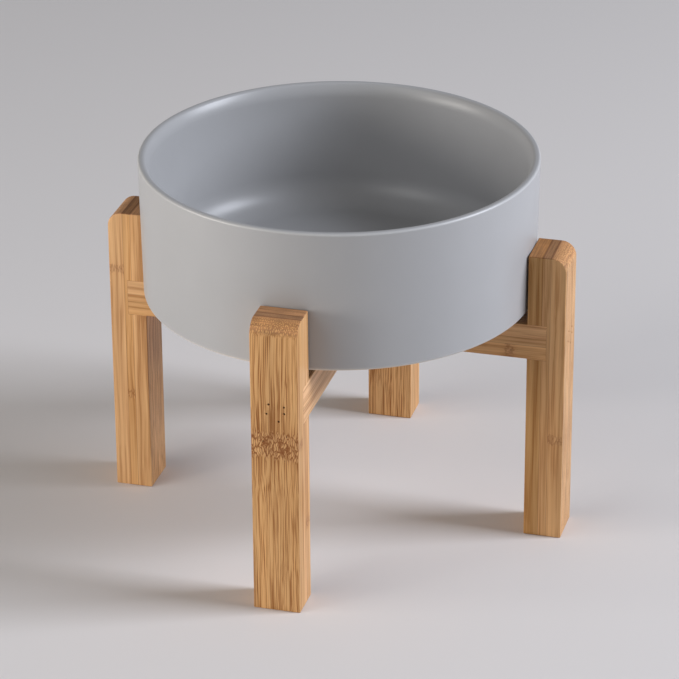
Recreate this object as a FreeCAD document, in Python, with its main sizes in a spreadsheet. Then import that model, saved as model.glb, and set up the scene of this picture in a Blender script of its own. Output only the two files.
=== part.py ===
import FreeCAD, Part
import os

import Sketcher

# Raised dog bowl. A glazed ceramic bowl stands loose between four bamboo legs. Each pair of opposite legs is
# housed and pinned on the ends of a crossbar, and the two frames cross at a halved joint under the bowl.
# Millimetres. +Z is up, X runs left to right and Y front to back. The floor is Z = 0, under the bowl's centre.

# Driving dimensions: alias, value and what it measures.
SIZES = [
    ("rim_diameter", 216.0, "bowl, outside, at the rim"),
    ("wall_taper", 1.2, "bowl, outside, how far the drafted wall draws in from rim to base, at each side"),
    ("bowl_height", 83.0, "bowl, from the foot ring to the rim"),
    ("wall", 6.0, "bowl wall"),
    ("floor_thickness", 7.0, "bowl floor"),
    ("cove_round", 18.0, "inside, where the wall meets the floor"),
    ("lip_width", 2.4, "slope that eases the inner wall into the rim, across"),
    ("lip_height", 4.8, "slope that eases the inner wall into the rim, below the rim"),
    ("lip_round", 14.0, "where that slope leaves the inner wall"),
    ("rim_outer_round", 1.5, "rim, outer edge"),
    ("rim_inner_round", 2.4, "rim, inner edge"),
    ("base_round", 2.5, "lower edge of the wall"),
    ("foot_height", 4.6, "foot ring, below the wall's lower edge"),
    ("foot_inset", 12.8, "foot ring's outside, in from the wall's base"),
    ("foot_width", 9.0, "foot ring, across its rubbed face"),
    ("foot_round", 1.2, "foot ring, both lower edges"),
    ("leg_gap", 0.25, "between a leg's inner face and the bowl's wall, at the top of the leg"),
    ("leg_depth", 20.8, "leg, from inner to outer face"),
    ("leg_width", 25.6, "leg and crossbar, across"),
    ("leg_height", 167.5, "leg"),
    ("leg_top_round", 8.0, "leg, outer top edge"),
    ("arris", 0.8, "sanded edges of legs and crossbars"),
    ("bar_height", 20.4, "crossbar"),
    ("bar_top_height", 127.4, "top of the crossbars above the floor"),
    ("housing_depth", 10.6, "notch in a leg's inner face"),
    ("lap_clearance", 0.2, "halved joint, at each side"),
    ("pin_diameter", 1.1, "pin nail"),
    ("pin_length", 25.0, "pin nail"),
    ("pin_set", 1.0, "pin nail's end below the leg's outer face"),
    ("pin_clearance", 0.05, "round a pin nail"),
    ("pin_tip_gap", 0.3, "beyond a pin nail's point"),
    ("cut_overrun", 1.0, "how far a cut runs on into open space"),
]

# Pin nails of one leg, as shares of the leg's width and the bar's height from the middle of the bar's end.
PIN_PLACE_SHARES = [(-0.115, 0.214), (-0.16, -0.058), (0.206, 0.174), (0.211, -0.007), (0.093, -0.243)]

# Turn of each leg about the upright axis, in degrees from +X.
LEG_TURNS = {"right": 0, "back": 90, "left": 180, "front": 270}

# Half of the bar's height goes to each bar of the halved joint.
LAP_SHARE = 0.5

# Derived places, written in the driving dimensions.
RIM_RADIUS = "(sizes.rim_diameter / 2)"
BASE_RADIUS = f"({RIM_RADIUS} - sizes.wall_taper)"
FOOT_RADIUS = f"({BASE_RADIUS} - sizes.foot_inset)"
BOWL_FLOOR = "(sizes.foot_height + sizes.floor_thickness)"
WALL_BASE = "(sizes.bar_top_height + sizes.foot_height)"
WALL_SLOPE = "(sizes.wall_taper / (sizes.bowl_height - sizes.foot_height))"
LEG_INNER = f"({BASE_RADIUS} + (sizes.leg_height - {WALL_BASE}) * {WALL_SLOPE} + sizes.leg_gap)"
LEG_OUTER = f"({LEG_INNER} + sizes.leg_depth)"
BAR_END = f"({LEG_INNER} + sizes.housing_depth)"
BAR_TOP = "sizes.bar_top_height"
BAR_BOTTOM = f"({BAR_TOP} - sizes.bar_height)"
BAR_MIDDLE = f"({BAR_TOP} - sizes.bar_height / 2)"
LAP_HEIGHT = f"({BAR_BOTTOM} + sizes.bar_height * {LAP_SHARE})"
LAP_HALF_WIDTH = "(sizes.leg_width / 2 + sizes.lap_clearance)"
PIN_HEAD = f"({LEG_OUTER} - sizes.pin_set)"
LEG_WEB = "(sizes.leg_depth - sizes.housing_depth)"
PIN_HOLD = f"(sizes.pin_length + sizes.pin_set - {LEG_WEB})"
HOLE_RADIUS = "(sizes.pin_diameter / 2 + sizes.pin_clearance)"

# Sketcher's codes for the start and end of a line, a circle's centre, the sketch's origin and its two axes.
START, END, CENTRE = 1, 2, 3
ORIGIN, ACROSS, UP = -1, -1, -2

TOLERANCE = 1e-4

doc = FreeCAD.newDocument("raised_dog_bowl")
sheet = doc.addObject("Spreadsheet::Sheet", "sizes")
for row, (alias, size, meaning) in enumerate(SIZES, 1):
    sheet.set(f"A{row}", meaning)
    sheet.set(f"B{row}", str(size))
    sheet.setAlias(f"B{row}", alias)
doc.recompute()


def number(expression):
    """Value of an expression written in the sheet's aliases."""
    return float(sheet.evalExpression(expression))


def new_body(label, turn=0, height=None):
    """Empty body, turned about the upright axis and lifted to a height given as an expression."""
    body = doc.addObject("PartDesign::Body", label)
    body.Label = label
    body.Placement.Rotation = FreeCAD.Rotation(FreeCAD.Vector(0, 0, 1), turn)
    if height:
        body.setExpression("Placement.Base.z", height)
    return body


def origin_feature(body, role):
    """Plane or axis of a body's own origin."""
    return next(item for item in body.Origin.OriginFeatures if item.Role == role)


def new_sketch(body, name, plane, offset=None):
    """Sketch on one of the body's origin planes, shifted along the plane's normal by an expression."""
    sketch = body.newObject("Sketcher::SketchObject", f"{body.Label}_{name}")
    sketch.AttachmentSupport = [(origin_feature(body, plane), "")]
    sketch.MapMode = "FlatFace"
    if offset:
        sketch.setExpression("AttachmentOffset.Base.z", offset)
    return sketch


def dimension(sketch, kind, item, point, expression):
    """Dimension of a point from the sketch's origin; zero puts the point on the axis."""
    value = number(expression)
    if abs(value) < TOLERANCE:
        axis = UP if kind == "DistanceX" else ACROSS
        sketch.addConstraint(Sketcher.Constraint("PointOnObject", item, point, axis))
        return
    index = sketch.addConstraint(Sketcher.Constraint(kind, ORIGIN, START, item, point, value))
    sketch.setExpression(f"Constraints[{index}]", expression)


def outline(sketch, corners):
    """Closed outline of straight lines through corners given as pairs of expressions."""
    points = [FreeCAD.Vector(number(x), number(y), 0) for x, y in corners]
    following = points[1:] + points[:1]
    lines = [sketch.addGeometry(Part.LineSegment(a, b)) for a, b in zip(points, following)]
    for line, after in zip(lines, lines[1:] + lines[:1]):
        sketch.addConstraint(Sketcher.Constraint("Coincident", line, END, after, START))
    for line, (x, y) in zip(lines, corners):
        dimension(sketch, "DistanceX", line, START, x)
        dimension(sketch, "DistanceY", line, START, y)


def pin_circles(sketch, radius):
    """One circle for each pin nail, on a plane square to the leg's outer face."""
    for across, up in PIN_PLACE_SHARES:
        y = f"(sizes.leg_width * {across})"
        z = f"({BAR_MIDDLE} + sizes.bar_height * {up})"
        centre = FreeCAD.Vector(number(y), number(z), 0)
        circle = sketch.addGeometry(Part.Circle(centre, FreeCAD.Vector(0, 0, 1), number(radius)))
        dimension(sketch, "DistanceX", circle, CENTRE, y)
        dimension(sketch, "DistanceY", circle, CENTRE, z)
        index = sketch.addConstraint(Sketcher.Constraint("Radius", circle, number(radius)))
        sketch.setExpression(f"Constraints[{index}]", radius)


def pad(body, name, sketch, length, **settings):
    """Extrusion of a sketch by a length given as an expression."""
    feature = body.newObject("PartDesign::Pad", f"{body.Label}_{name}")
    feature.Profile = sketch
    for key, value in settings.items():
        setattr(feature, key, value)
    feature.setExpression("Length", length)
    doc.recompute()
    return feature


def pocket(body, name, sketch, length):
    """Cut of a sketch against its plane's normal; a cut that takes nothing away is an error."""
    before = body.Shape.Volume
    feature = body.newObject("PartDesign::Pocket", f"{body.Label}_{name}")
    feature.Profile = sketch
    feature.setExpression("Length", length)
    doc.recompute()
    require_cut(feature, before)
    return feature


def require_cut(feature, before):
    """Stops the build if a cut left the volume as it was."""
    if not feature.Shape.Volume < before:
        raise RuntimeError(f"{feature.Label} takes nothing away")


def rounded(body, name, base, chosen, radius):
    """Fillet along the edges of a feature that a test picks out."""
    names = [f"Edge{i}" for i, edge in enumerate(base.Shape.Edges, 1) if chosen(edge)]
    if not names:
        raise RuntimeError(f"{body.Label}_{name} finds no edge")
    feature = body.newObject("PartDesign::Fillet", f"{body.Label}_{name}")
    feature.Base = (base, names)
    feature.setExpression("Radius", radius)
    doc.recompute()
    return feature


def near(value, expression):
    """True where a measured value is the one that an expression gives."""
    return abs(value - number(expression)) < TOLERANCE


def circle_at(radius, height):
    """Test for the level circle of a given radius at a given height."""
    def chosen(edge):
        curve = edge.Curve
        return isinstance(curve, Part.Circle) and near(curve.Radius, radius) and near(curve.Center.z, height)
    return chosen


def make_bowl():
    """Half section turned about the upright axis, then rounded at the foot, base, cove, lip and rim."""
    body = new_body("bowl", height=BAR_TOP)
    section = new_sketch(body, "section", "XZ_Plane")
    foot_inner = f"({FOOT_RADIUS} - sizes.foot_width)"
    rim_inner = f"({RIM_RADIUS} - sizes.wall + sizes.lip_width)"
    lip = f"({RIM_RADIUS} - sizes.wall - sizes.lip_height * {WALL_SLOPE})"
    lip_level = "(sizes.bowl_height - sizes.lip_height)"
    cove = f"({BASE_RADIUS} - sizes.wall)"
    outline(section, [
        (foot_inner, "0"),
        (FOOT_RADIUS, "0"),
        (FOOT_RADIUS, "sizes.foot_height"),
        (BASE_RADIUS, "sizes.foot_height"),
        (RIM_RADIUS, "sizes.bowl_height"),
        (rim_inner, "sizes.bowl_height"),
        (lip, lip_level),
        (cove, BOWL_FLOOR),
        ("0", BOWL_FLOOR),
        ("0", "sizes.foot_height"),
        (foot_inner, "sizes.foot_height"),
    ])
    turned = body.newObject("PartDesign::Revolution", "bowl_turned")
    turned.Profile = section
    turned.ReferenceAxis = (section, ["V_Axis"])
    doc.recompute()
    feature = turned
    for name, radius, height, size in (
        ("cove", cove, BOWL_FLOOR, "sizes.cove_round"),
        ("lip", lip, lip_level, "sizes.lip_round"),
        ("rim_inner", rim_inner, "sizes.bowl_height", "sizes.rim_inner_round"),
        ("rim_outer", RIM_RADIUS, "sizes.bowl_height", "sizes.rim_outer_round"),
        ("base", BASE_RADIUS, "sizes.foot_height", "sizes.base_round"),
        ("foot_outer", FOOT_RADIUS, "0", "sizes.foot_round"),
        ("foot_inner", foot_inner, "0", "sizes.foot_round"),
    ):
        feature = rounded(body, name, feature, circle_at(radius, height), size)
    return body


def make_leg(side):
    """Side view with the housing for the crossbar, extruded across, rounded and drilled for its pin nails."""
    body = new_body(f"leg_{side}", LEG_TURNS[side])
    profile = new_sketch(body, "profile", "XZ_Plane")
    outline(profile, [
        (LEG_INNER, "0"),
        (LEG_OUTER, "0"),
        (LEG_OUTER, "sizes.leg_height"),
        (LEG_INNER, "sizes.leg_height"),
        (LEG_INNER, BAR_TOP),
        (BAR_END, BAR_TOP),
        (BAR_END, BAR_BOTTOM),
        (LEG_INNER, BAR_BOTTOM),
    ])
    blank = pad(body, "blank", profile, "sizes.leg_width", SideType="Symmetric")

    def outer_top(edge):
        box = edge.BoundBox
        return near(box.XMin, LEG_OUTER) and near(box.ZMin, "sizes.leg_height")

    def off_housing(edge):
        box = edge.BoundBox
        return box.ZMin < number(BAR_BOTTOM) - TOLERANCE or box.ZMax > number(BAR_TOP) + TOLERANCE

    shouldered = rounded(body, "top_round", blank, outer_top, "sizes.leg_top_round")
    rounded(body, "arris", shouldered, off_housing, "sizes.arris")
    holes = new_sketch(body, "pin_holes", "YZ_Plane", LEG_OUTER)
    pin_circles(holes, HOLE_RADIUS)
    pocket(body, "drilled", holes, f"{LEG_WEB} + sizes.cut_overrun")
    return body


def make_crossbar(label, turn, slot_up):
    """Side view with the slot of the halved joint, extruded across, rounded along and drilled at both ends."""
    body = new_body(label, turn)
    profile = new_sketch(body, "profile", "XZ_Plane")
    slotted, plain = (BAR_TOP, BAR_BOTTOM) if slot_up else (BAR_BOTTOM, BAR_TOP)
    outline(profile, [
        (f"-{BAR_END}", plain),
        (BAR_END, plain),
        (BAR_END, slotted),
        (LAP_HALF_WIDTH, slotted),
        (LAP_HALF_WIDTH, LAP_HEIGHT),
        (f"-{LAP_HALF_WIDTH}", LAP_HEIGHT),
        (f"-{LAP_HALF_WIDTH}", slotted),
        (f"-{BAR_END}", slotted),
    ])
    blank = pad(body, "blank", profile, "sizes.leg_width", SideType="Symmetric")

    def long_edge(edge):
        box = edge.BoundBox
        level = near(box.ZMin, BAR_TOP) or near(box.ZMax, BAR_BOTTOM)
        return level and box.XLength > TOLERANCE

    rounded(body, "arris", blank, long_edge, "sizes.arris")
    holes = new_sketch(body, "pin_holes", "YZ_Plane", BAR_END)
    pin_circles(holes, HOLE_RADIUS)
    drilled = pocket(body, "drilled", holes, f"{PIN_HOLD} + sizes.pin_tip_gap")
    before = body.Shape.Volume
    both_ends = body.newObject("PartDesign::PolarPattern", f"{label}_both_ends")
    both_ends.Originals = [drilled]
    both_ends.Axis = (origin_feature(body, "Z_Axis"), [""])
    both_ends.Angle = 360
    both_ends.Occurrences = 2
    body.Tip = both_ends
    doc.recompute()
    require_cut(both_ends, before)
    return body


def make_pins(side):
    """The pin nails of one leg, driven from its outer face into the end of the crossbar."""
    body = new_body(f"pins_{side}", LEG_TURNS[side])
    body.AllowCompound = True
    places = new_sketch(body, "places", "YZ_Plane", PIN_HEAD)
    pin_circles(places, "(sizes.pin_diameter / 2)")
    pad(body, "driven", places, "sizes.pin_length", Reversed=True)
    return body


bodies = [make_bowl()]
bodies += [make_leg(side) for side in LEG_TURNS]
bodies += [make_crossbar("crossbar_side", 0, True), make_crossbar("crossbar_front", 90, False)]
bodies += [make_pins(side) for side in LEG_TURNS]
doc.recompute()

for item in doc.Objects:
    if "Invalid" in item.State or "Error" in item.State:
        raise RuntimeError(f"{item.Label} failed: {item.State}")
for body in bodies:
    if body.Shape.isNull() or not body.Shape.isValid():
        raise RuntimeError(f"{body.Label} has no valid shape")

os.makedirs("parts", exist_ok=True)
for body in bodies:
    body.Shape.exportStep(f"parts/{body.Label}.step")
    box = body.Shape.BoundBox
    print(f"{body.Label}: {len(body.Shape.Solids)} solids, {body.Shape.Volume:.1f} mm3, "
          f"X {box.XMin:.2f} to {box.XMax:.2f}, Y {box.YMin:.2f} to {box.YMax:.2f}, Z {box.ZMin:.2f} to {box.ZMax:.2f}")
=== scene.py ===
import math

import bpy
import numpy as np
from bpy.props import FloatProperty, FloatVectorProperty, IntProperty, PointerProperty
from bpy.types import Operator, Panel, PropertyGroup
from mathutils import Matrix, Vector


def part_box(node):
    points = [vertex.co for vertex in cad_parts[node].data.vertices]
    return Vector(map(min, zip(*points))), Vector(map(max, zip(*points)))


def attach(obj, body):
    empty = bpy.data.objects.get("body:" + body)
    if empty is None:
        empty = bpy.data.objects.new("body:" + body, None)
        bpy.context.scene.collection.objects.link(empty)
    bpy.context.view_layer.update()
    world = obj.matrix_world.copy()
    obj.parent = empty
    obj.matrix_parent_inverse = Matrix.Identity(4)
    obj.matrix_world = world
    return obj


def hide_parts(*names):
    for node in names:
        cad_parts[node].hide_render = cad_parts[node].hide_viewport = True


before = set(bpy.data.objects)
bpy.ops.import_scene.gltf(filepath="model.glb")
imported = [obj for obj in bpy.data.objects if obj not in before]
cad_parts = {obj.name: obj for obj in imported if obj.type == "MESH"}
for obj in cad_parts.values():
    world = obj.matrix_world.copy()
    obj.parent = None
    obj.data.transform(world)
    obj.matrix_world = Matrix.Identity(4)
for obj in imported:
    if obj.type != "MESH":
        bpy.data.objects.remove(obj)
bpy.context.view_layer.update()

bl_info = {
    "name": "Raised dog bowl",
    "version": (1, 0, 0),
    "blender": (4, 5, 0),
    "location": "3D View > Sidebar > Dog bowl",
    "description": "Dresses the packed dog bowl and its crossed bamboo stand",
    "category": "Object",
}

MM = 0.001
PER_METRE = 1000.0  # millimetres in a metre

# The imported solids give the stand's own sizes.
LEG_LOW, LEG_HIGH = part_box("leg_right")
BAR_LOW, BAR_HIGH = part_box("crossbar_side")
BOWL_LOW, BOWL_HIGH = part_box("bowl")

# Turn of each leg and crossbar about the upright axis, in degrees, and the body that it belongs to.
LEGS = {
    "right": (0, "side_frame"),
    "back": (90, "front_frame"),
    "left": (180, "side_frame"),
    "front": (270, "front_frame"),
}
CROSSBARS = {"side": (0, "side_frame"), "front": (90, "front_frame")}

# Pin nails of one leg, as shares of the leg's width and the bar's height from the middle of the bar's end.
PIN_PLACE_SHARES = np.array([(-0.115, 0.214), (-0.16, -0.058), (0.206, 0.174), (0.211, -0.007), (0.093, -0.243)])
HOLE_SIDES = 20
HOLE_OVERRUN = 1 * MM  # of the cutter beyond a leg's outer face

# Fineness of the meshes: points on a rounded corner and on an arris, and the angle up to which faces are shaded as one.
BOWL_ROUND_POINTS = 15
BOARD_ROUND_POINTS = 11
ARRIS_POINTS = 5
SMOOTH_ANGLE = math.radians(35)
STRAIGHT_ANGLE = 1e-6  # a corner that turns by less is none
SAME_PLACE = 1e-7  # two points nearer than this are one

# Each board is three bamboo strips glued one on the other, from the inner face of a leg outwards and from the bottom of
# a crossbar up. For each board: where the culm's node crosses each strip, in mm along the grain (beyond the board's
# end where a strip has none), how strongly a node shows on a broad face, the tone of each strip, and a number that
# shifts its figure. The tones are partly the bamboo's own and partly painted light and shade: the left leg and the
# crossbars are made paler where more light falls on them, and the right leg's inner strip darker as painted shade.
FIGURES = {
    "right_leg": ((-90.0, -90.0, 60.0), 0.2, (-0.13, 0.02, 0.02), 1),
    "back_leg": ((96.0, -90.0, 118.0), 0.6, (-0.02, -0.05, 0.00), 2),
    "left_leg": ((-90.0, 58.0, 134.0), 0.4, (0.05, -0.02, 0.09), 3),
    "front_leg": ((47.0, -90.0, 98.0), 1.0, (0.04, 0.06, -0.03), 4),
    "side_crossbar": ((-98.0, -160.0, -160.0), 0.6, (0.00, 0.03, 0.10), 5),
    "front_crossbar": ((-30.0, -70.0, 160.0), 0.6, (0.14, 0.10, 0.16), 6),
}
# Glue joints, in mm from the first strip's face: strips 8.0, 4.4 and about 8.2 mm thick.
STRIP_JOINTS = (8.0, 12.4)
# How far from each other in the figure, in mm, two strips of a board and two boards are cut.
STRIP_SHIFT = (0.0, 37.0, 411.0)
BOARD_SHIFT = (7.3, 91.0, 733.0)

# Each lamp's azimuth round to the right of the front and its elevation, in degrees, its distance from what it aims at,
# its width and its height, in metres, and its colour.
LAMPS = {
    "left": (-57.0, 7.0, 2.2, 1.28, 0.73, "fffaf4"),
    "front": (-34.0, 31.0, 2.4, 1.2, 1.2, "ffffff"),
    "right": (98.5, 29.0, 2.8, 1.04, 1.68, "eff4ff"),
}
LAMP_AIM = Vector((0.0, 0.0, 0.12))
EVEN_LIGHT = "f6f6f6"
SENSOR_WIDTH = 36.0  # mm
FAR_CLIP = 100.0  # m
FLOOR_LIFT = 0.02 * MM  # a hair up, so that the feet show from below


def linear(code):
    """Linear RGB of an sRGB hex colour."""
    srgb = np.array([int(code[i:i + 2], 16) for i in (0, 2, 4)]) / 255
    return tuple(np.where(srgb <= 0.04045, srgb / 12.92, ((srgb + 0.055) / 1.055) ** 2.4).tolist())


class BowlSettings(PropertyGroup):
    """Sizes and colours of the ceramic bowl."""

    rim_radius: FloatProperty(
        name="Rim radius", description="Outside of the rim, from the axis", default=108 * MM, unit="LENGTH")
    wall_taper: FloatProperty(
        name="Wall taper", description="How far the wall draws in from rim to base", default=1.2 * MM, unit="LENGTH")
    wall: FloatProperty(name="Wall", description="Thickness of the wall", default=6 * MM, unit="LENGTH")
    floor: FloatProperty(name="Floor", description="Thickness of the floor", default=7 * MM, unit="LENGTH")
    cove: FloatProperty(
        name="Cove", description="Round between wall and floor, inside", default=18 * MM, unit="LENGTH")
    lip_width: FloatProperty(
        name="Lip width", description="Slope from inner wall to rim, across", default=2.4 * MM, unit="LENGTH")
    lip_height: FloatProperty(
        name="Lip height", description="Slope from inner wall to rim, below the rim", default=4.8 * MM, unit="LENGTH")
    lip_round: FloatProperty(
        name="Lip round", description="Where the slope leaves the inner wall", default=14 * MM, unit="LENGTH")
    rim_outer: FloatProperty(
        name="Outer rim round", description="Round of the rim's outer edge", default=1.5 * MM, unit="LENGTH")
    rim_inner: FloatProperty(
        name="Inner rim round", description="Round of the rim's inner edge", default=2.4 * MM, unit="LENGTH")
    base_round: FloatProperty(
        name="Base round", description="Round of the wall's lower edge", default=2.5 * MM, unit="LENGTH")
    foot_height: FloatProperty(
        name="Foot height", description="Foot ring below the wall's lower edge", default=4.6 * MM, unit="LENGTH")
    foot_inset: FloatProperty(
        name="Foot inset", description="Foot ring in from the wall's base", default=12.8 * MM, unit="LENGTH")
    foot_width: FloatProperty(
        name="Foot width", description="Foot ring across its rubbed face", default=9 * MM, unit="LENGTH")
    foot_round: FloatProperty(
        name="Foot round", description="Round of the foot ring's edges", default=1.2 * MM, unit="LENGTH")
    warp: FloatProperty(
        name="Kiln warp", description="How far the fired rim strays from a true circle", default=0.15 * MM,
        unit="LENGTH")
    segments: IntProperty(name="Segments", description="Steps round the bowl", default=288, min=32)
    glaze: FloatVectorProperty(
        name="Glaze", description="Satin grey glaze", default=linear("aaaaab"), subtype="COLOR", size=3)
    glaze_shade: FloatVectorProperty(
        name="Glaze shade", description="Glaze where it lies thicker", default=linear("a6a6a7"), subtype="COLOR",
        size=3)
    glaze_edge: FloatVectorProperty(
        name="Glaze edge", description="Glaze that has run thin on an edge", default=linear("bababa"),
        subtype="COLOR", size=3)
    clay: FloatVectorProperty(
        name="Clay", description="Bare fired clay of the foot ring", default=linear("d9d2c6"), subtype="COLOR",
        size=3)


class StandSettings(PropertyGroup):
    """Sizes and colours of the bamboo stand."""

    leg_inner: FloatProperty(
        name="Leg inner face", description="From the bowl's axis", default=LEG_LOW.x, unit="LENGTH")
    leg_outer: FloatProperty(
        name="Leg outer face", description="From the bowl's axis", default=LEG_HIGH.x, unit="LENGTH")
    leg_height: FloatProperty(name="Leg height", description="From the floor", default=LEG_HIGH.z, unit="LENGTH")
    half_width: FloatProperty(
        name="Half width", description="Half of a leg or crossbar across", default=LEG_HIGH.y, unit="LENGTH")
    top_round: FloatProperty(
        name="Top round", description="Round of a leg's outer top edge", default=8 * MM, unit="LENGTH")
    bar_end: FloatProperty(
        name="Bar end", description="End of a crossbar, from the bowl's axis", default=BAR_HIGH.x, unit="LENGTH")
    bar_bottom: FloatProperty(name="Bar bottom", description="From the floor", default=BAR_LOW.z, unit="LENGTH")
    bar_top: FloatProperty(name="Bar top", description="From the floor", default=BAR_HIGH.z, unit="LENGTH")
    lap_clearance: FloatProperty(
        name="Lap clearance", description="Halved joint, at each side", default=0.2 * MM, unit="LENGTH")
    arris: FloatProperty(name="Arris", description="Sanded round of free edges", default=0.5 * MM, unit="LENGTH")
    joint_arris: FloatProperty(
        name="Joint arris", description="Broken edge where two boards meet", default=0.15 * MM, unit="LENGTH")
    pin_hole: FloatProperty(
        name="Pin hole", description="Radius of a pin nail's hole", default=0.6 * MM, unit="LENGTH")
    pin_reach: FloatProperty(
        name="Pin reach", description="Depth of the hole from a leg's outer face", default=26.3 * MM, unit="LENGTH")
    pale: FloatVectorProperty(
        name="Pale bamboo", description="Soft tissue between the fibres", default=linear("dcad77"), subtype="COLOR",
        size=3)
    golden: FloatVectorProperty(
        name="Golden bamboo", description="Fibrous streaks", default=linear("bb8650"), subtype="COLOR", size=3)
    fibre: FloatVectorProperty(
        name="Fibre", description="Fibre bundles cut along", default=linear("8a5527"), subtype="COLOR", size=3)
    node: FloatVectorProperty(
        name="Node", description="Flecks at the culm's node", default=linear("885127"), subtype="COLOR", size=3)
    pit: FloatVectorProperty(
        name="Pit", description="Dark pits in a node", default=linear("3a2212"), subtype="COLOR", size=3)
    glue: FloatVectorProperty(
        name="Glue line", description="Between two strips", default=linear("74492a"), subtype="COLOR", size=3)
    end_ground: FloatVectorProperty(
        name="End grain", description="End grain, which drinks more lacquer", default=linear("ad7c52"),
        subtype="COLOR", size=3)
    end_bundle: FloatVectorProperty(
        name="End of a bundle", description="Fibre bundles cut across", default=linear("e6b275"), subtype="COLOR",
        size=3)
    steel: FloatVectorProperty(
        name="Pin steel", description="Drawn steel wire", default=linear("57534f"), subtype="COLOR", size=3)


class StageSettings(PropertyGroup):
    """Floor, lights and camera."""

    floor_size: FloatProperty(name="Floor size", description="Side of the floor", default=12.0, unit="LENGTH")
    floor_colour: FloatVectorProperty(
        name="Floor colour", description="Plain pale floor", default=linear("e0dcda"), subtype="COLOR", size=3)
    left_power: FloatProperty(name="Left light", description="Low warm light, watts", default=32.5)
    front_power: FloatProperty(name="Front light", description="Weak light, watts", default=10.5)
    right_power: FloatProperty(name="Right light", description="Tall cool light, watts", default=88.0)
    fill: FloatProperty(name="Fill", description="Strength of the even light all round", default=0.14)
    backdrop: FloatProperty(name="Backdrop", description="Strength of the backdrop that the eye sees", default=0.35)
    focal_length: FloatProperty(
        name="Focal length", description="Camera lens, on a 36 mm sensor", default=183.146, unit="CAMERA")
    azimuth: FloatProperty(
        name="Azimuth", description="Camera, round to the right of the front", default=math.radians(15.5212),
        subtype="ANGLE")
    elevation: FloatProperty(
        name="Elevation", description="Camera, above the floor", default=math.radians(25.5245), subtype="ANGLE")
    roll: FloatProperty(
        name="Roll", description="Camera, about its own axis", default=math.radians(-0.3651), subtype="ANGLE")
    distance: FloatProperty(
        name="Distance", description="Camera from what it aims at", default=1.93877, unit="LENGTH")
    aim: FloatVectorProperty(
        name="Aim", description="Point at the middle of the picture", default=(-0.00975, 0.03363, 0.08301),
        subtype="XYZ", size=3)


def add(tree, kind, inputs=(), **settings):
    """Adds one node. Settings are its own attributes; inputs are values, sockets or nodes for its sockets."""
    made = tree.nodes.new(kind)
    for key, value in settings.items():
        setattr(made, key, value)
    for key, value in dict(inputs).items():
        if isinstance(value, bpy.types.Node):
            value = value.outputs[0]
        if isinstance(value, bpy.types.NodeSocket):
            tree.links.new(value, made.inputs[key])
        else:
            made.inputs[key].default_value = value
    return made


def new_tree(name):
    """New material with an empty node tree."""
    material = bpy.data.materials.new(name)
    material.use_nodes = True
    material.node_tree.nodes.clear()
    return material, material.node_tree


def opaque(colour):
    """A colour setting with full alpha, as a node's socket takes it."""
    return (*colour, 1.0)


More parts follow.
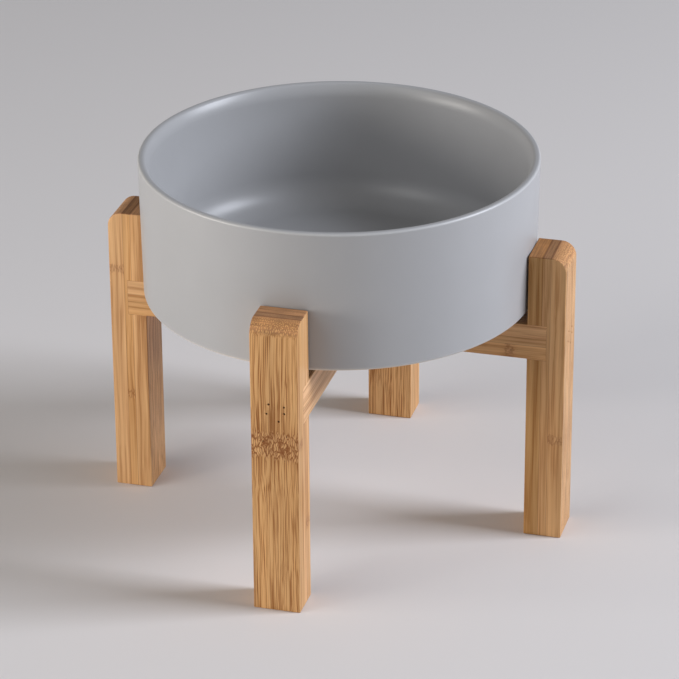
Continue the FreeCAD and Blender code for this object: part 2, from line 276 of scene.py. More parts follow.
def laminated_bamboo(name, stand, rotation, shift):
    """Flat-pressed bamboo under satin lacquer: three strips of culm wall glued flat on each other.

    The eye sees fine brown lines along the grain, a band of short interlaced flecks where a strip crosses a node of
    the culm, the strips' edges as bands with thin glue lines on a board's sides, and on its end darker strips with
    pale dots, where fibre bundles are cut across, crowded towards the culm's skin. It is one solid figure in board
    coordinates, in mm: X from strip to strip, Y across the strips and Z along the grain.
    """
    knots, strength, tones_and_painted_light, seed = FIGURES[name]
    material, tree = new_tree(f"laminated_bamboo_{name}")
    source = add(tree, "ShaderNodeTexCoord")
    place = add(tree, "ShaderNodeMapping", {
        "Vector": source.outputs["Object"], "Location": shift, "Rotation": rotation, "Scale": (PER_METRE,) * 3})
    facing = add(tree, "ShaderNodeMapping", {"Vector": source.outputs["Normal"], "Rotation": rotation})
    axes = add(tree, "ShaderNodeSeparateXYZ", {0: place})
    facing = add(tree, "ShaderNodeSeparateXYZ", {0: facing})

    # Broad faces lie square to X and show the strips' flats; end grain lies square to Z.
    broad = add(tree, "ShaderNodeMath", {0: facing.outputs["X"]}, operation="ABSOLUTE")
    broad = add(tree, "ShaderNodeMapRange", {"Value": broad, "From Min": 0.4, "From Max": 0.9})
    end = add(tree, "ShaderNodeMath", {0: facing.outputs["Z"]}, operation="ABSOLUTE")
    end = add(tree, "ShaderNodeMapRange", {"Value": end, "From Min": 0.1, "From Max": 0.45},
              interpolation_type="SMOOTHSTEP")

    # Each strip has its own stretch of the figure.
    above = [add(tree, "ShaderNodeMath", {0: axes.outputs["X"], 1: joint}, operation="GREATER_THAN")
             for joint in STRIP_JOINTS]
    strip_number = add(tree, "ShaderNodeMath", {0: above[0], 1: above[1]}, operation="ADD")
    strip = add(tree, "ShaderNodeVectorMath", {0: strip_number, 1: STRIP_SHIFT, 2: place}, operation="MULTIPLY_ADD")
    board_shift = tuple(seed * step for step in BOARD_SHIFT)
    strip = add(tree, "ShaderNodeVectorMath", {0: strip, 1: board_shift}, operation="ADD")

    def by_strip(values):
        """Value of the strip that a point lies in."""
        first = add(tree, "ShaderNodeMath", {0: above[0], 1: values[1] - values[0], 2: values[0]},
                    operation="MULTIPLY_ADD")
        return add(tree, "ShaderNodeMath", {0: above[1], 1: values[2] - values[1], 2: first},
                   operation="MULTIPLY_ADD")

    # Node of the culm: a band about 17 mm long on a broad face and 6 mm on a side, with spiked ends.
    spikes = add(tree, "ShaderNodeVectorMath", {0: strip, 1: (0.8, 0.8, 0.05)}, operation="MULTIPLY")
    spikes = add(tree, "ShaderNodeTexNoise", {"Vector": spikes, "Scale": 1.0, "Detail": 1.0})
    spikes = add(tree, "ShaderNodeMath", {0: spikes, 1: 14.0, 2: -7.0}, operation="MULTIPLY_ADD")
    from_node = add(tree, "ShaderNodeMath", {0: axes.outputs["Z"], 1: by_strip(knots)}, operation="SUBTRACT")
    from_node = add(tree, "ShaderNodeMath", {0: from_node}, operation="ABSOLUTE")
    narrow = add(tree, "ShaderNodeMath", {0: broad, 1: -2.0, 2: 3.0}, operation="MULTIPLY_ADD")
    from_node = add(tree, "ShaderNodeMath", {0: from_node, 1: narrow, 2: spikes}, operation="MULTIPLY_ADD")
    band = add(tree, "ShaderNodeMapRange", {"Value": from_node, "From Min": 8.6, "From Max": 5.6},
               interpolation_type="SMOOTHSTEP")
    tail = add(tree, "ShaderNodeMapRange", {
        "Value": from_node, "From Min": 16.0, "From Max": 7.0, "To Max": 0.2 * strength})

    # Fibres sway by about a millimetre along the board, and part and cross at a node.
    sway = add(tree, "ShaderNodeTexNoise", {"Vector": strip, "Scale": 0.02, "Detail": 1.0})
    sway = add(tree, "ShaderNodeVectorMath", {0: sway.outputs["Color"], 1: (2.0, 2.0, 0.0), 2: (-1.0, -1.0, 0.0)},
               operation="MULTIPLY_ADD")
    fibres = add(tree, "ShaderNodeVectorMath", {0: strip, 1: sway}, operation="ADD")
    bend = add(tree, "ShaderNodeTexNoise", {"Vector": strip, "Scale": 0.3, "Detail": 1.0})
    bend = add(tree, "ShaderNodeVectorMath", {0: bend.outputs["Color"], 1: (2.0, 2.0, 0.0), 2: (-1.0, -1.0, 0.0)},
               operation="MULTIPLY_ADD")
    crossed = add(tree, "ShaderNodeVectorMath", {0: fibres, 1: bend}, operation="ADD")

    # Fibre bundles 1 mm apart, seen as dots on the end.
    bundle = add(tree, "ShaderNodeTexVoronoi", {"Vector": fibres, "Scale": 1.0, "Randomness": 0.8},
                 voronoi_dimensions="2D")
    bundle = add(tree, "ShaderNodeMapRange", {"Value": bundle, "From Min": 0.4, "From Max": 0.15},
                 interpolation_type="SMOOTHSTEP")

    # Lines half a millimetre wide that fade in and out along some 45 mm, over streaks 2 mm wide and longer.
    line = add(tree, "ShaderNodeVectorMath", {0: fibres, 1: (2.2, 2.2, 0.022)}, operation="MULTIPLY")
    line = add(tree, "ShaderNodeTexNoise", {"Vector": line, "Scale": 1.0, "Detail": 2.0, "Roughness": 0.6})
    line = add(tree, "ShaderNodeMapRange", {"Value": line, "From Min": 0.42, "From Max": 0.6})
    streak = add(tree, "ShaderNodeVectorMath", {0: fibres, 1: (0.45, 0.45, 0.013)}, operation="MULTIPLY")
    streak = add(tree, "ShaderNodeTexNoise", {"Vector": streak, "Scale": 1.0, "Detail": 1.0})
    streak = add(tree, "ShaderNodeMapRange", {"Value": streak, "From Min": 0.34, "From Max": 0.66})
    fine = add(tree, "ShaderNodeMath", {0: broad, 1: 0.55, 2: 0.3}, operation="MULTIPLY_ADD")
    grain = add(tree, "ShaderNodeMix", {0: fine, 2: streak, 3: line})
    grain = add(tree, "ShaderNodeMath", {0: grain, 1: tail}, operation="ADD", use_clamp=True)

    # Flecks of the node, about 1 mm by 4 mm, pale in the middle, and a few dark pits under a millimetre wide.
    cells = add(tree, "ShaderNodeVectorMath", {0: crossed, 1: (0.95, 0.95, 0.22)}, operation="MULTIPLY")
    fleck = add(tree, "ShaderNodeTexVoronoi", {"Vector": cells, "Scale": 1.0}, feature="DISTANCE_TO_EDGE")
    fleck = add(tree, "ShaderNodeMapRange", {"Value": fleck, "From Min": 0.05, "From Max": 0.2})
    chance = add(tree, "ShaderNodeTexVoronoi", {"Vector": cells, "Scale": 1.0}).outputs["Color"]
    chance = add(tree, "ShaderNodeSeparateXYZ", {0: chance}).outputs["X"]
    chance = add(tree, "ShaderNodeMapRange", {"Value": chance, "To Min": 0.45})
    fleck = add(tree, "ShaderNodeMath", {0: fleck, 1: chance}, operation="MULTIPLY")
    pit = add(tree, "ShaderNodeTexVoronoi", {"Vector": strip, "Scale": 0.2})
    pit = add(tree, "ShaderNodeMapRange", {"Value": pit, "From Min": 0.11, "From Max": 0.06})

    # Slow change of tone along and across a strip. A paler strip is a greyer one too.
    tone = add(tree, "ShaderNodeVectorMath", {0: strip, 1: (0.12, 0.12, 0.006)}, operation="MULTIPLY")
    tone = add(tree, "ShaderNodeTexNoise", {"Vector": tone, "Scale": 1.0, "Detail": 1.0})
    tone = add(tree, "ShaderNodeMath", {0: tone, 1: 0.5, 2: 0.75}, operation="MULTIPLY_ADD")
    # Each strip's tone also paints light and shade: paler boards where more light falls, a darker strip in shade.
    strip_tone_and_painted_light = by_strip(tones_and_painted_light)
    tone = add(tree, "ShaderNodeMath", {0: tone, 1: strip_tone_and_painted_light}, operation="ADD")
    richness = add(tree, "ShaderNodeMath", {0: strip_tone_and_painted_light, 1: -0.5, 2: 1.0}, operation="MULTIPLY_ADD")

    # Glue lines, drawn 0.4 mm wide so that they show, and wider and darker on the end, where the cut frays them.
    near_joint = [add(tree, "ShaderNodeMath", {0: axes.outputs["X"], 1: joint}, operation="SUBTRACT")
                  for joint in STRIP_JOINTS]
    near_joint = [add(tree, "ShaderNodeMath", {0: item}, operation="ABSOLUTE") for item in near_joint]
    glue = add(tree, "ShaderNodeMath", {0: near_joint[0], 1: near_joint[1]}, operation="MINIMUM")
    frayed = add(tree, "ShaderNodeMath", {0: end, 1: -0.65, 2: 1.0}, operation="MULTIPLY_ADD")
    glue = add(tree, "ShaderNodeMath", {0: glue, 1: frayed}, operation="MULTIPLY")
    glue = add(tree, "ShaderNodeMapRange", {"Value": glue, "From Min": 0.25, "From Max": 0.1})
    depth = add(tree, "ShaderNodeMath", {0: end, 1: 0.35, 2: 0.35}, operation="MULTIPLY_ADD")
    glue = add(tree, "ShaderNodeMath", {0: glue, 1: depth}, operation="MULTIPLY")

    # End grain: saw lines across the strips, and dots that crowd towards the outer strip's skin in loose patches.
    sawn = add(tree, "ShaderNodeVectorMath", {0: strip, 1: (1.1, 0.05, 0.0)}, operation="MULTIPLY")
    sawn = add(tree, "ShaderNodeTexNoise", {"Vector": sawn, "Scale": 1.0, "Detail": 2.0})
    patch = add(tree, "ShaderNodeTexNoise", {"Vector": strip, "Scale": 0.2, "Detail": 1.0})
    skin = add(tree, "ShaderNodeMapRange", {
        "Value": axes.outputs["X"], "From Min": 11.0, "From Max": 19.0, "To Min": -0.15, "To Max": 0.75})
    dots = add(tree, "ShaderNodeMath", {0: patch, 1: skin}, operation="ADD")
    dots = add(tree, "ShaderNodeMapRange", {
        "Value": dots, "From Min": 0.45, "From Max": 1.1, "To Min": 0.1, "To Max": 0.75})
    dots = add(tree, "ShaderNodeMath", {0: dots, 1: bundle}, operation="MULTIPLY")

    # Colours: the sides and faces, then the node and its pits, then the end grain, the glue and the strip's tone.
    colour = add(tree, "ShaderNodeMix", {0: grain, 6: opaque(stand.pale), 7: opaque(stand.golden)}, data_type="RGBA")
    dark = add(tree, "ShaderNodeMapRange", {"Value": grain, "From Min": 0.5, "From Max": 1.0})
    deep = add(tree, "ShaderNodeMath", {0: broad, 1: 0.5, 2: 0.35}, operation="MULTIPLY_ADD")
    dark = add(tree, "ShaderNodeMath", {0: dark, 1: deep}, operation="MULTIPLY")
    colour = add(tree, "ShaderNodeMix", {0: dark, 6: colour.outputs[2], 7: opaque(stand.fibre)}, data_type="RGBA")
    knot = add(tree, "ShaderNodeMix", {0: fleck, 6: opaque(stand.node), 7: opaque(stand.pale)}, data_type="RGBA")
    shown = add(tree, "ShaderNodeMath", {0: broad, 1: 0.95 * strength - 0.5, 2: 0.5}, operation="MULTIPLY_ADD")
    shown = add(tree, "ShaderNodeMath", {0: shown, 1: band}, operation="MULTIPLY")
    colour = add(tree, "ShaderNodeMix", {0: shown, 6: colour.outputs[2], 7: knot.outputs[2]}, data_type="RGBA")
    pit = add(tree, "ShaderNodeMath", {0: pit, 1: shown}, operation="MULTIPLY")
    colour = add(tree, "ShaderNodeMix", {0: pit, 6: colour.outputs[2], 7: opaque(stand.pit)}, data_type="RGBA")
    ground = add(tree, "ShaderNodeMath", {0: sawn, 1: 1.2, 2: 0.4}, operation="MULTIPLY_ADD")
    ground = add(tree, "ShaderNodeMath", {0: ground, 1: by_strip((1.02, 0.76, 1.05))}, operation="MULTIPLY")
    ends = add(tree, "ShaderNodeHueSaturation", {"Value": ground, "Color": opaque(stand.end_ground)})
    ends = add(tree, "ShaderNodeMix", {0: dots, 6: ends, 7: opaque(stand.end_bundle)}, data_type="RGBA")
    colour = add(tree, "ShaderNodeMix", {0: end, 6: colour.outputs[2], 7: ends.outputs[2]}, data_type="RGBA")
    colour = add(tree, "ShaderNodeMix", {0: glue, 6: colour.outputs[2], 7: opaque(stand.glue)}, data_type="RGBA")
    colour = add(tree, "ShaderNodeHueSaturation", {"Saturation": richness, "Value": tone, "Color": colour.outputs[2]})

    # Satin lacquer, a little duller on the golden streaks and on the end, over a relief of 0.04 mm.
    rough = add(tree, "ShaderNodeMath", {0: grain, 1: 0.1, 2: 0.38}, operation="MULTIPLY_ADD")
    rough = add(tree, "ShaderNodeMath", {0: end, 1: 0.15, 2: rough}, operation="MULTIPLY_ADD")
    relief = add(tree, "ShaderNodeMath", {0: grain, 1: dots}, operation="SUBTRACT")
    relief = add(tree, "ShaderNodeBump", {"Strength": 0.5, "Distance": 0.04 * MM, "Height": relief}, invert=True)
    shader = add(tree, "ShaderNodeBsdfPrincipled", {
        "Base Color": colour, "Roughness": rough, "Normal": relief, "IOR": 1.34, "Coat Weight": 0.1,
        "Coat Roughness": 0.25})
    add(tree, "ShaderNodeOutputMaterial", {"Surface": shader})
    return material


def satin_glaze(bowl):
    """Matt-satin stoneware glaze, dipped: an even grey with a soft sheen and the faintest clouding, a little paler
    where it runs thin on edges. Bare clay shows on the wiped foot ring; a pale line of its colour lies along the base's
    edge."""
    material, tree = new_tree("satin_grey_glaze")
    place = add(tree, "ShaderNodeTexCoord").outputs["Object"]
    # Clouding about 20 mm across, and a fine skin about 1 mm across.
    cloud = add(tree, "ShaderNodeTexNoise", {"Vector": place, "Scale": PER_METRE / 20, "Detail": 2.0})
    skin = add(tree, "ShaderNodeTexNoise", {"Vector": place, "Scale": PER_METRE / 1.0, "Detail": 2.0})
    thin = add(tree, "ShaderNodeAttribute", attribute_name="thin_glaze").outputs["Fac"]
    bare = add(tree, "ShaderNodeAttribute", attribute_name="bare_clay").outputs["Fac"]
    colour = add(tree, "ShaderNodeMix", {0: cloud, 6: opaque(bowl.glaze_shade), 7: opaque(bowl.glaze)},
                 data_type="RGBA")
    colour = add(tree, "ShaderNodeMix", {0: thin, 6: colour.outputs[2], 7: opaque(bowl.glaze_edge)}, data_type="RGBA")
    colour = add(tree, "ShaderNodeMix", {0: bare, 6: colour.outputs[2], 7: opaque(bowl.clay)}, data_type="RGBA")
    rough = add(tree, "ShaderNodeMath", {0: cloud, 1: 0.04, 2: 0.34}, operation="MULTIPLY_ADD")
    rough = add(tree, "ShaderNodeMath", {0: bare, 1: 0.4, 2: rough}, operation="MULTIPLY_ADD")
    relief = add(tree, "ShaderNodeBump", {"Strength": 0.2, "Distance": 0.02 * MM, "Height": skin})
    shader = add(tree, "ShaderNodeBsdfPrincipled", {
        "Base Color": colour.outputs[2], "Roughness": rough, "Normal": relief, "IOR": 1.5})
    add(tree, "ShaderNodeOutputMaterial", {"Surface": shader})
    return material


def drawn_steel(stand):
    """Drawn steel wire, cut off square: dull grey metal under a film of oxide in spots of half a millimetre."""
    material, tree = new_tree("drawn_steel_wire")
    place = add(tree, "ShaderNodeTexCoord").outputs["Object"]
    film = add(tree, "ShaderNodeTexNoise", {"Vector": place, "Scale": PER_METRE / 0.5, "Detail": 2.0})
    rough = add(tree, "ShaderNodeMath", {0: film, 1: 0.25, 2: 0.25}, operation="MULTIPLY_ADD")
    colour = add(tree, "ShaderNodeMath", {0: film, 1: 0.4, 2: 0.8}, operation="MULTIPLY_ADD")
    colour = add(tree, "ShaderNodeHueSaturation", {"Value": colour, "Color": opaque(stand.steel)})
    relief = add(tree, "ShaderNodeBump", {"Strength": 0.3, "Distance": 0.01 * MM, "Height": film})
    shader = add(tree, "ShaderNodeBsdfPrincipled", {
        "Base Color": colour, "Metallic": 1.0, "Roughness": rough, "Normal": relief})
    add(tree, "ShaderNodeOutputMaterial", {"Surface": shader})
    return material


def floor_paint(stage):
    """Plain matt paint with a faint unevenness about 60 mm across. From below it is clear, so that the underside can
    be looked at."""
    material, tree = new_tree("matt_floor_paint")
    place = add(tree, "ShaderNodeTexCoord").outputs["Object"]
    uneven = add(tree, "ShaderNodeTexNoise", {"Vector": place, "Scale": PER_METRE / 60, "Detail": 2.0})
    rough = add(tree, "ShaderNodeMath", {0: uneven, 1: 0.1, 2: 0.75}, operation="MULTIPLY_ADD")
    shader = add(tree, "ShaderNodeBsdfPrincipled", {
        "Base Color": opaque(stage.floor_colour), "Roughness": rough, "Specular IOR Level": 0.2})
    clear = add(tree, "ShaderNodeBsdfTransparent")
    below = add(tree, "ShaderNodeNewGeometry").outputs["Backfacing"]
    shader = add(tree, "ShaderNodeMixShader", {0: below, 1: shader, 2: clear})
    add(tree, "ShaderNodeOutputMaterial", {"Surface": shader})
    return material


def rounded_outline(corners, radii, steps):
    """Closed outline with each corner rounded: points, outward normals, and each point's corner.

    Corners run anticlockwise. With n the outward normals of the edges before and after a corner P, an arc of radius r
    has its centre at P - s r (n1 + n2) / (1 + n1.n2) and its points at centre + s r n(t), where n(t) turns evenly
    from n1 to n2 and s is 1 at an outer corner and -1 at an inner one.
    """
    edges = np.roll(corners, -1, 0) - corners
    edges = edges / np.linalg.norm(edges, axis=1, keepdims=True)
    after = np.stack([edges[:, 1], -edges[:, 0]], 1)
    before = np.roll(after, 1, 0)
    cosine = (before * after).sum(1)
    side = np.sign(np.round(before[:, 0] * after[:, 1] - before[:, 1] * after[:, 0], 6))
    centres = corners - (side * radii / (1 + cosine))[:, None] * (before + after)
    turn = np.arccos(np.clip(cosine, -1, 1))[:, None]
    share = np.linspace(0, 1, steps)[None, :]
    normals = (np.sin((1 - share) * turn)[..., None] * before[:, None]
               + np.sin(share * turn)[..., None] * after[:, None])
    straight = (turn < STRAIGHT_ANGLE)[..., None]
    normals = np.where(straight, after[:, None], normals / np.where(straight, 1, np.sin(turn)[..., None]))
    points = centres[:, None] + (side * radii)[:, None, None] * normals
    owner = np.repeat(np.arange(len(corners)), steps)
    points, normals = points.reshape(-1, 2), normals.reshape(-1, 2)
    keep = np.linalg.norm(points - np.roll(points, 1, 0), axis=1) > SAME_PLACE
    return points[keep], normals[keep], owner[keep]


def ring_quads(rows, columns):
    """Quads of a grid whose rows are closed rings: rows x columns vertices, row by row."""
    row, column = np.meshgrid(np.arange(rows - 1), np.arange(columns), indexing="ij")
    following = (column + 1) % columns
    corners = [row * columns + column, row * columns + following, (row + 1) * columns + following,
               (row + 1) * columns + column]
    return np.stack(corners, -1).reshape(-1, 4)


def about_axis(points, turn):
    """Points turned about the upright axis."""
    return points.reshape(-1, 3) @ np.array(Matrix.Rotation(turn, 3, "Z")).T


def new_piece(name, vertices, faces, material):
    """New mesh object at the origin, smooth but for its sharper edges."""
    mesh = bpy.data.meshes.new(name)
    mesh.from_pydata(vertices.tolist(), [], faces)
    mesh.materials.append(material)
    mesh.shade_smooth()
    mesh.set_sharp_from_angle(angle=SMOOTH_ANGLE)
    piece = bpy.data.objects.new(name, mesh)
    bpy.context.scene.collection.objects.link(piece)
    return piece


def bowl_surface(bowl):
    """Half section turned about the upright axis: vertices, faces, and where glaze is thin or clay bare.

    A point (r, z) of the section goes to (r + w) (cos a, sin a) at height z, where the kiln's warp
    w = warp (z / height) cos(2 a + phase) grows from the foot to the rim. Along the base's edge a pale line in the
    clay's colour is laid with strength ((1 - sin a) / 2)^4, which is 1 at the front and 0 at the back.
    """
    warp_phase = 0.6
    base_corner, rim_corner = 5, 6
    pale_line_slopes = (-0.99, -0.51)  # slopes of the base's round along which the pale line lies
    top, seat = BOWL_HIGH.z, BOWL_LOW.z
    base = bowl.rim_radius - bowl.wall_taper
    foot = base - bowl.foot_inset
    underside = seat + bowl.foot_height
    inside = underside + bowl.floor
    slope = bowl.wall_taper / (top - underside)
    corners = np.array([
        (0.0, underside),
        (foot - bowl.foot_width, underside),
        (foot - bowl.foot_width, seat),
        (foot, seat),
        (foot, underside),
        (base, underside),
        (bowl.rim_radius, top),
        (bowl.rim_radius - bowl.wall + bowl.lip_width, top),
        (bowl.rim_radius - bowl.wall - bowl.lip_height * slope, top - bowl.lip_height),
        (base - bowl.wall, inside),
        (0.0, inside),
    ])
    radii = np.array([0.0, bowl.foot_round, bowl.foot_round, bowl.foot_round, bowl.foot_round, bowl.base_round,
                      bowl.rim_outer, bowl.rim_inner, bowl.lip_round, bowl.cove, 0.0])
    outline, normals, owner = rounded_outline(corners, radii, BOWL_ROUND_POINTS)
    turned = (owner > 0) & (owner < len(corners) - 1)
    outline, normals, owner = outline[turned], normals[turned], owner[turned]
    angle = np.linspace(0, 2 * np.pi, bowl.segments, endpoint=False)
    height = (outline[:, 1] - seat) / (top - seat)
    radius = outline[:, :1] + bowl.warp * height[:, None] * np.cos(2 * angle + warp_phase)
    rings = np.stack([radius * np.cos(angle), radius * np.sin(angle),
                      np.broadcast_to(outline[:, 1:], radius.shape)], -1).reshape(-1, 3)
    poles = np.array([(0.0, 0.0, underside), (0.0, 0.0, inside)])
    rows, columns = radius.shape
    column = np.arange(columns)
    following = (column + 1) % columns
    last = (rows - 1) * columns
    low_fan = np.stack([np.full(columns, rows * columns), following, column], -1)
    high_fan = np.stack([np.full(columns, rows * columns + 1), last + column, last + following], -1)
    faces = ring_quads(rows, columns).tolist() + low_fan.tolist() + high_fan.tolist()
    # Glaze runs thin half way round the rim's and the base's outer edges. The foot ring is wiped bare up to the middle
    # of its round, and a pale line in the clay's colour lies along the base's edge, fading from the front to the back.
    slopes = normals[:, 1]
    edge = np.where(np.isin(owner, (base_corner, rim_corner)), np.sin(np.pi * np.abs(slopes)), 0.0)
    wiped = np.where(outline[:, 1] < seat + bowl.foot_round / 2, 1.0, 0.0)
    drawn = np.where((owner == base_corner) & (slopes > pale_line_slopes[0]) & (slopes < pale_line_slopes[1]), 1.0, 0.0)
    bare = np.maximum(wiped[:, None], drawn[:, None] * ((1 - np.sin(angle)) / 2) ** 4)
    thin = np.concatenate([np.repeat(edge, columns), [0.0, 0.0]])
    bare = np.concatenate([bare.reshape(-1), [0.0, 0.0]])
    return np.concatenate([rings, poles]), faces, thin, bare


def board_surface(corners, radii, arrises, half_width, turn):
    """Side outline carried across a board: vertices and faces.

    With p a point of the rounded outline, n its outward normal and a its arris, the edge row at angle t from the
    board's side is p - a (1 - sin t) n, at half_width - a (1 - cos t) from the middle. The sides are flat faces.
    """
    outline, normals, owner = rounded_outline(corners, radii, BOARD_ROUND_POINTS)
    arris = arrises[owner][:, None]
    angle = np.linspace(0, np.pi / 2, ARRIS_POINTS)[:, None, None]
    drawn = outline - arris * (1 - np.sin(angle)) * normals
    across = np.broadcast_to(half_width - arris * (1 - np.cos(angle)), drawn.shape[:2] + (1,))
    near = np.concatenate([drawn[..., :1], -across, drawn[..., 1:]], -1)
    far = np.concatenate([drawn[..., :1], across, drawn[..., 1:]], -1)[::-1]
    rows = np.concatenate([near, far])
    count, columns = rows.shape[:2]
    last = (count - 1) * columns
    faces = ring_quads(count, columns).tolist()
    faces.append(list(range(columns))[::-1])
    faces.append(list(range(last, last + columns)))
    return about_axis(rows, turn), [face[::-1] for face in faces]


def leg_outline(stand):
    """Side of a leg: corners, their rounds and their arrises. The housing for the crossbar keeps crisp edges."""
    free, joint = stand.arris, stand.joint_arris
    inner, outer, tip = stand.leg_inner, stand.leg_outer, stand.leg_height
    table = np.array([
        (inner, 0.0, free, free),
        (outer, 0.0, free, free),
        (outer, tip, stand.top_round, free),
        (inner, tip, free, free),
        (inner, stand.bar_top + free, joint, free),
        (inner, stand.bar_top, joint, joint),
        (stand.bar_end, stand.bar_top, joint, joint),
        (stand.bar_end, stand.bar_bottom, joint, joint),
        (inner, stand.bar_bottom, joint, joint),
        (inner, stand.bar_bottom - free, joint, free),
    ])
    return table[:, :2], table[:, 2], table[:, 3]


def crossbar_outline(stand, slot_up):
    """Side of a crossbar with the slot of the halved joint: corners, their rounds and their arrises."""
    free, joint = stand.arris, stand.joint_arris
    end, inner = stand.bar_end, stand.leg_inner
    slot = stand.half_width + stand.lap_clearance
    low, high = stand.bar_bottom, stand.bar_top
    middle = (low + high) / 2
    table = np.array([
        (-end, low, joint, joint),
        (-inner - free, low, joint, joint),
        (-inner, low, joint, free),
        (inner, low, joint, free),
        (inner + free, low, joint, joint),
        (end, low, joint, joint),
        (end, high, joint, joint),
        (inner + free, high, joint, joint),
        (inner, high, joint, free),
        (slot + free, high, joint, free),
        (slot, high, joint, joint),
        (slot, middle, joint, joint),
        (-slot, middle, joint, joint),
        (-slot, high, joint, joint),
        (-slot - free, high, joint, free),
        (-inner, high, joint, free),
        (-inner - free, high, joint, joint),
        (-end, high, joint, joint),
    ])
    if not slot_up:
        table[:, 1] = low + high - table[:, 1]
        table = table[::-1]
    return table[:, :2], table[:, 2], table[:, 3]


def pin_hole_surface(stand, turn):
    """Five closed cylinders, one for each pin nail's hole: circles about the nail's axis, at both ends of the hole."""
    angle = np.linspace(0, 2 * np.pi, HOLE_SIDES, endpoint=False)
    circle = stand.pin_hole * np.stack([np.cos(angle), np.sin(angle)], 1)
    size = np.array([2 * stand.half_width, stand.bar_top - stand.bar_bottom])
    middle = np.array([0.0, (stand.bar_top + stand.bar_bottom) / 2])
    rims = (middle + PIN_PLACE_SHARES * size)[:, None, None, :] + circle[None, None]
    rims = np.broadcast_to(rims, (len(PIN_PLACE_SHARES), 2, HOLE_SIDES, 2))
    out = np.array([stand.leg_outer - stand.pin_reach, stand.leg_outer + HOLE_OVERRUN])[None, :, None, None]
    rims = np.concatenate([np.broadcast_to(out, rims.shape[:3] + (1,)), rims], -1)
    first = np.arange(len(PIN_PLACE_SHARES))[:, None] * 2 * HOLE_SIDES
    quads = (ring_quads(2, HOLE_SIDES)[None] + first[..., None]).reshape(-1, 4)
    inner_ends = first + np.arange(HOLE_SIDES)[::-1]
    outer_ends = first + HOLE_SIDES + np.arange(HOLE_SIDES)
    return about_axis(rims, turn), quads.tolist() + inner_ends.tolist() + outer_ends.tolist()


def drill(piece, stand, turns):
    """Cuts the pin nails' holes into a piece and evens out its shading."""
    cutters = []
    for turn in turns:
        mesh = bpy.data.meshes.new("pin_holes")
        vertices, faces = pin_hole_surface(stand, turn)
        mesh.from_pydata(vertices.tolist(), [], faces)
        cutter = bpy.data.objects.new("pin_holes", mesh)
        bpy.context.scene.collection.objects.link(cutter)
        cutters.append(cutter)
        cut = piece.modifiers.new("pin_holes", "BOOLEAN")
        cut.object = cutter
        cut.solver = "EXACT"
    bpy.context.view_layer.update()
    whole = len(piece.data.polygons)
    ready = piece.evaluated_get(bpy.context.evaluated_depsgraph_get())
    mesh = bpy.data.meshes.new_from_object(ready)
    if len(mesh.polygons) <= whole:
        raise RuntimeError(f"{piece.name} has no pin holes")
    piece.modifiers.clear()
    piece.data = mesh
    mesh.name = piece.name
    for cutter in cutters:
        bpy.data.objects.remove(cutter)
    mesh.set_sharp_from_angle(angle=SMOOTH_ANGLE)
    even = piece.modifiers.new("even_shading", "WEIGHTED_NORMAL")
    even.keep_sharp = True


class DOGBOWL_OT_bowl(Operator):
    """Make the glazed ceramic bowl"""

    bl_idname = "dogbowl.bowl"
    bl_label = "Bowl"

    def execute(self, context):
        bowl = context.scene.dogbowl_bowl
        vertices, faces, thin, bare = bowl_surface(bowl)
        piece = new_piece("glazed_bowl", vertices, faces, satin_glaze(bowl))
        for name, values in (("thin_glaze", thin), ("bare_clay", bare)):
            piece.data.attributes.new(name, "FLOAT", "POINT").data.foreach_set("value", values)
        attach(piece, "bowl")
        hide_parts("bowl")
        return {"FINISHED"}


class DOGBOWL_OT_legs(Operator):
    """Make the four bamboo legs"""

    bl_idname = "dogbowl.legs"
    bl_label = "Legs"

    def execute(self, context):
        stand = context.scene.dogbowl_stand
        for side, (degrees, body) in LEGS.items():
            turn = math.radians(degrees)
            name = f"{side}_leg"
            bamboo = laminated_bamboo(name, stand, (0.0, 0.0, -turn), (-stand.leg_inner * PER_METRE, 0.0, 0.0))
            piece = new_piece(name, *board_surface(*leg_outline(stand), stand.half_width, turn), bamboo)
            drill(piece, stand, [turn])
            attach(piece, body)
            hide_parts(f"leg_{side}")
        return {"FINISHED"}


class DOGBOWL_OT_crossbars(Operator):
    """Make the two bamboo crossbars"""

    bl_idname = "dogbowl.crossbars"
    bl_label = "Crossbars"

    def execute(self, context):
        stand = context.scene.dogbowl_stand
        upright = Matrix.Rotation(math.pi / 2, 3, "Y")
        for side, (degrees, body) in CROSSBARS.items():
            turn = math.radians(degrees)
            name = f"{side}_crossbar"
            rotation = (upright @ Matrix.Rotation(-turn, 3, "Z")).to_euler()
            bamboo = laminated_bamboo(name, stand, rotation, (-stand.bar_bottom * PER_METRE, 0.0, 0.0))
            outline = crossbar_outline(stand, slot_up=side == "side")
            piece = new_piece(name, *board_surface(*outline, stand.half_width, turn), bamboo)
            drill(piece, stand, [turn, turn + math.pi])
            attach(piece, body)
            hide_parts(f"crossbar_{side}")
        return {"FINISHED"}


class DOGBOWL_OT_pins(Operator):
    """Give the pin nails their steel"""

    bl_idname = "dogbowl.pins"
    bl_label = "Pin nails"

    def execute(self, context):
        steel = drawn_steel(context.scene.dogbowl_stand)
        for side in LEGS:
            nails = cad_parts[f"pins_{side}"]
            nails.data.materials.clear()
            nails.data.materials.append(steel)
        return {"FINISHED"}


class DOGBOWL_OT_stage(Operator):
    """Make the floor, the lights and the camera"""

    bl_idname = "dogbowl.stage"
    bl_label = "Stage"

    def execute(self, context):
        stage = context.scene.dogbowl_stage
        half = stage.floor_size / 2
        corners = np.array([
            (-half, -half, FLOOR_LIFT), (half, -half, FLOOR_LIFT), (half, half, FLOOR_LIFT), (-half, half, FLOOR_LIFT)])
        new_piece("floor", corners, [(0, 1, 2, 3)], floor_paint(stage))
        light_stage(context, stage)
        set_camera(context, stage)
        context.scene.view_settings.view_transform = "Standard"
        return {"FINISHED"}


def towards(azimuth, elevation):
    """Direction from the object, round to the right of the front and up from the floor."""
    flat = math.cos(elevation)
    return Vector((math.sin(azimuth) * flat, -math.cos(azimuth) * flat, math.sin(elevation)))


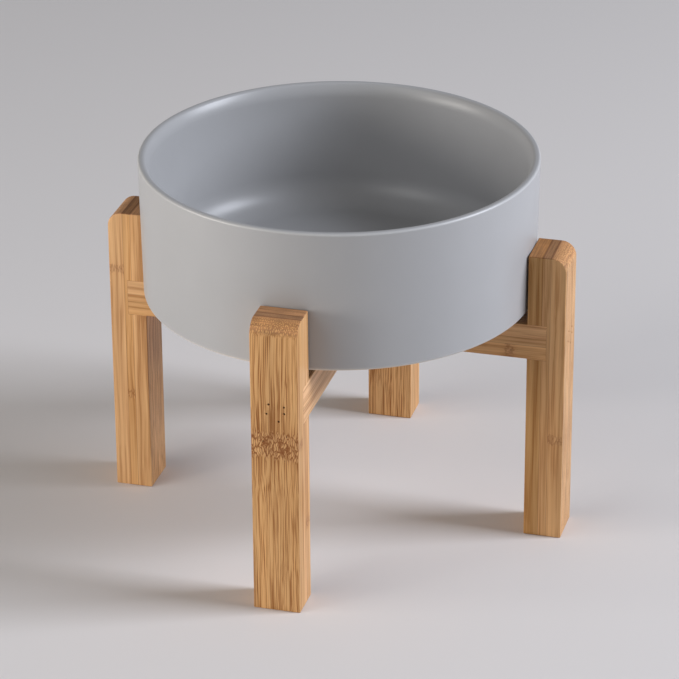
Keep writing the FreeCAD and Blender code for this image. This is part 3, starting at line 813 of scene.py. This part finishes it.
def light_stage(context, stage):
    """Large soft lamps, strongest from the left and the right, and an even light all round."""
    for side, (azimuth, elevation, distance, width, height, colour) in LAMPS.items():
        name = f"{side}_lamp"
        lamp = bpy.data.lights.new(name, "AREA")
        lamp.shape = "RECTANGLE"
        lamp.size = width
        lamp.size_y = height
        lamp.energy = getattr(stage, f"{side}_power")
        lamp.color = linear(colour)
        outward = towards(math.radians(azimuth), math.radians(elevation))
        holder = bpy.data.objects.new(name, lamp)
        holder.location = LAMP_AIM + distance * outward
        holder.rotation_euler = (-outward).to_track_quat("-Z", "Y").to_euler()
        context.scene.collection.objects.link(holder)
    world = bpy.data.worlds.new("even_light")
    world.use_nodes = True
    tree = world.node_tree
    tree.nodes.clear()
    even = add(tree, "ShaderNodeBackground", {"Color": opaque(linear(EVEN_LIGHT)), "Strength": stage.fill})
    # A paler backdrop for what the eye sees, straight, as a reflection or through something clear.
    shown = add(tree, "ShaderNodeBackground", {"Color": opaque(stage.floor_colour), "Strength": stage.backdrop})
    path = add(tree, "ShaderNodeLightPath").outputs
    seen = add(tree, "ShaderNodeMath", {0: path["Is Camera Ray"], 1: path["Is Glossy Ray"]}, operation="MAXIMUM")
    seen = add(tree, "ShaderNodeMath", {0: seen, 1: path["Is Transmission Ray"]}, operation="MAXIMUM")
    light = add(tree, "ShaderNodeMixShader", {0: seen, 1: even, 2: shown})
    add(tree, "ShaderNodeOutputWorld", {"Surface": light})
    context.scene.world = world


def set_camera(context, stage):
    """Long lens, turned about the upright axis, raised, and rolled a little."""
    lens = bpy.data.cameras.new("camera")
    lens.sensor_width = SENSOR_WIDTH
    lens.lens = stage.focal_length
    lens.clip_end = FAR_CLIP
    back = towards(stage.azimuth, stage.elevation)
    camera = bpy.data.objects.new("camera", lens)
    turn = (-back).to_track_quat("-Z", "Y").to_matrix() @ Matrix.Rotation(stage.roll, 3, "Z")
    camera.matrix_world = Matrix.Translation(Vector(stage.aim) + back * stage.distance) @ turn.to_4x4()
    context.scene.collection.objects.link(camera)
    context.scene.camera = camera


class DOGBOWL_PT_parts(Panel):
    """Pieces of the raised dog bowl"""

    bl_idname = "DOGBOWL_PT_parts"
    bl_label = "Raised dog bowl"
    bl_space_type = "VIEW_3D"
    bl_region_type = "UI"
    bl_category = "Dog bowl"

    def draw(self, context):
        for operator in OPERATORS:
            self.layout.operator(operator.bl_idname)
        for name in SETTINGS:
            group = getattr(context.scene, name)
            box = self.layout.box()
            for key in group.bl_rna.properties.keys():
                if key not in {"rna_type", "name"}:
                    box.prop(group, key)


OPERATORS = (DOGBOWL_OT_bowl, DOGBOWL_OT_legs, DOGBOWL_OT_crossbars, DOGBOWL_OT_pins, DOGBOWL_OT_stage)
SETTINGS = {"dogbowl_bowl": BowlSettings, "dogbowl_stand": StandSettings, "dogbowl_stage": StageSettings}


def register():
    for item in (*SETTINGS.values(), *OPERATORS, DOGBOWL_PT_parts):
        bpy.utils.register_class(item)
    for name, group in SETTINGS.items():
        setattr(bpy.types.Scene, name, PointerProperty(type=group))


def unregister():
    for name in SETTINGS:
        delattr(bpy.types.Scene, name)
    for item in reversed((*SETTINGS.values(), *OPERATORS, DOGBOWL_PT_parts)):
        bpy.utils.unregister_class(item)


def main():
    """Makes every piece and the stage."""
    register()
    bpy.ops.dogbowl.bowl()
    bpy.ops.dogbowl.legs()
    bpy.ops.dogbowl.crossbars()
    bpy.ops.dogbowl.pins()
    bpy.ops.dogbowl.stage()


if __name__ == "__main__":
    main()
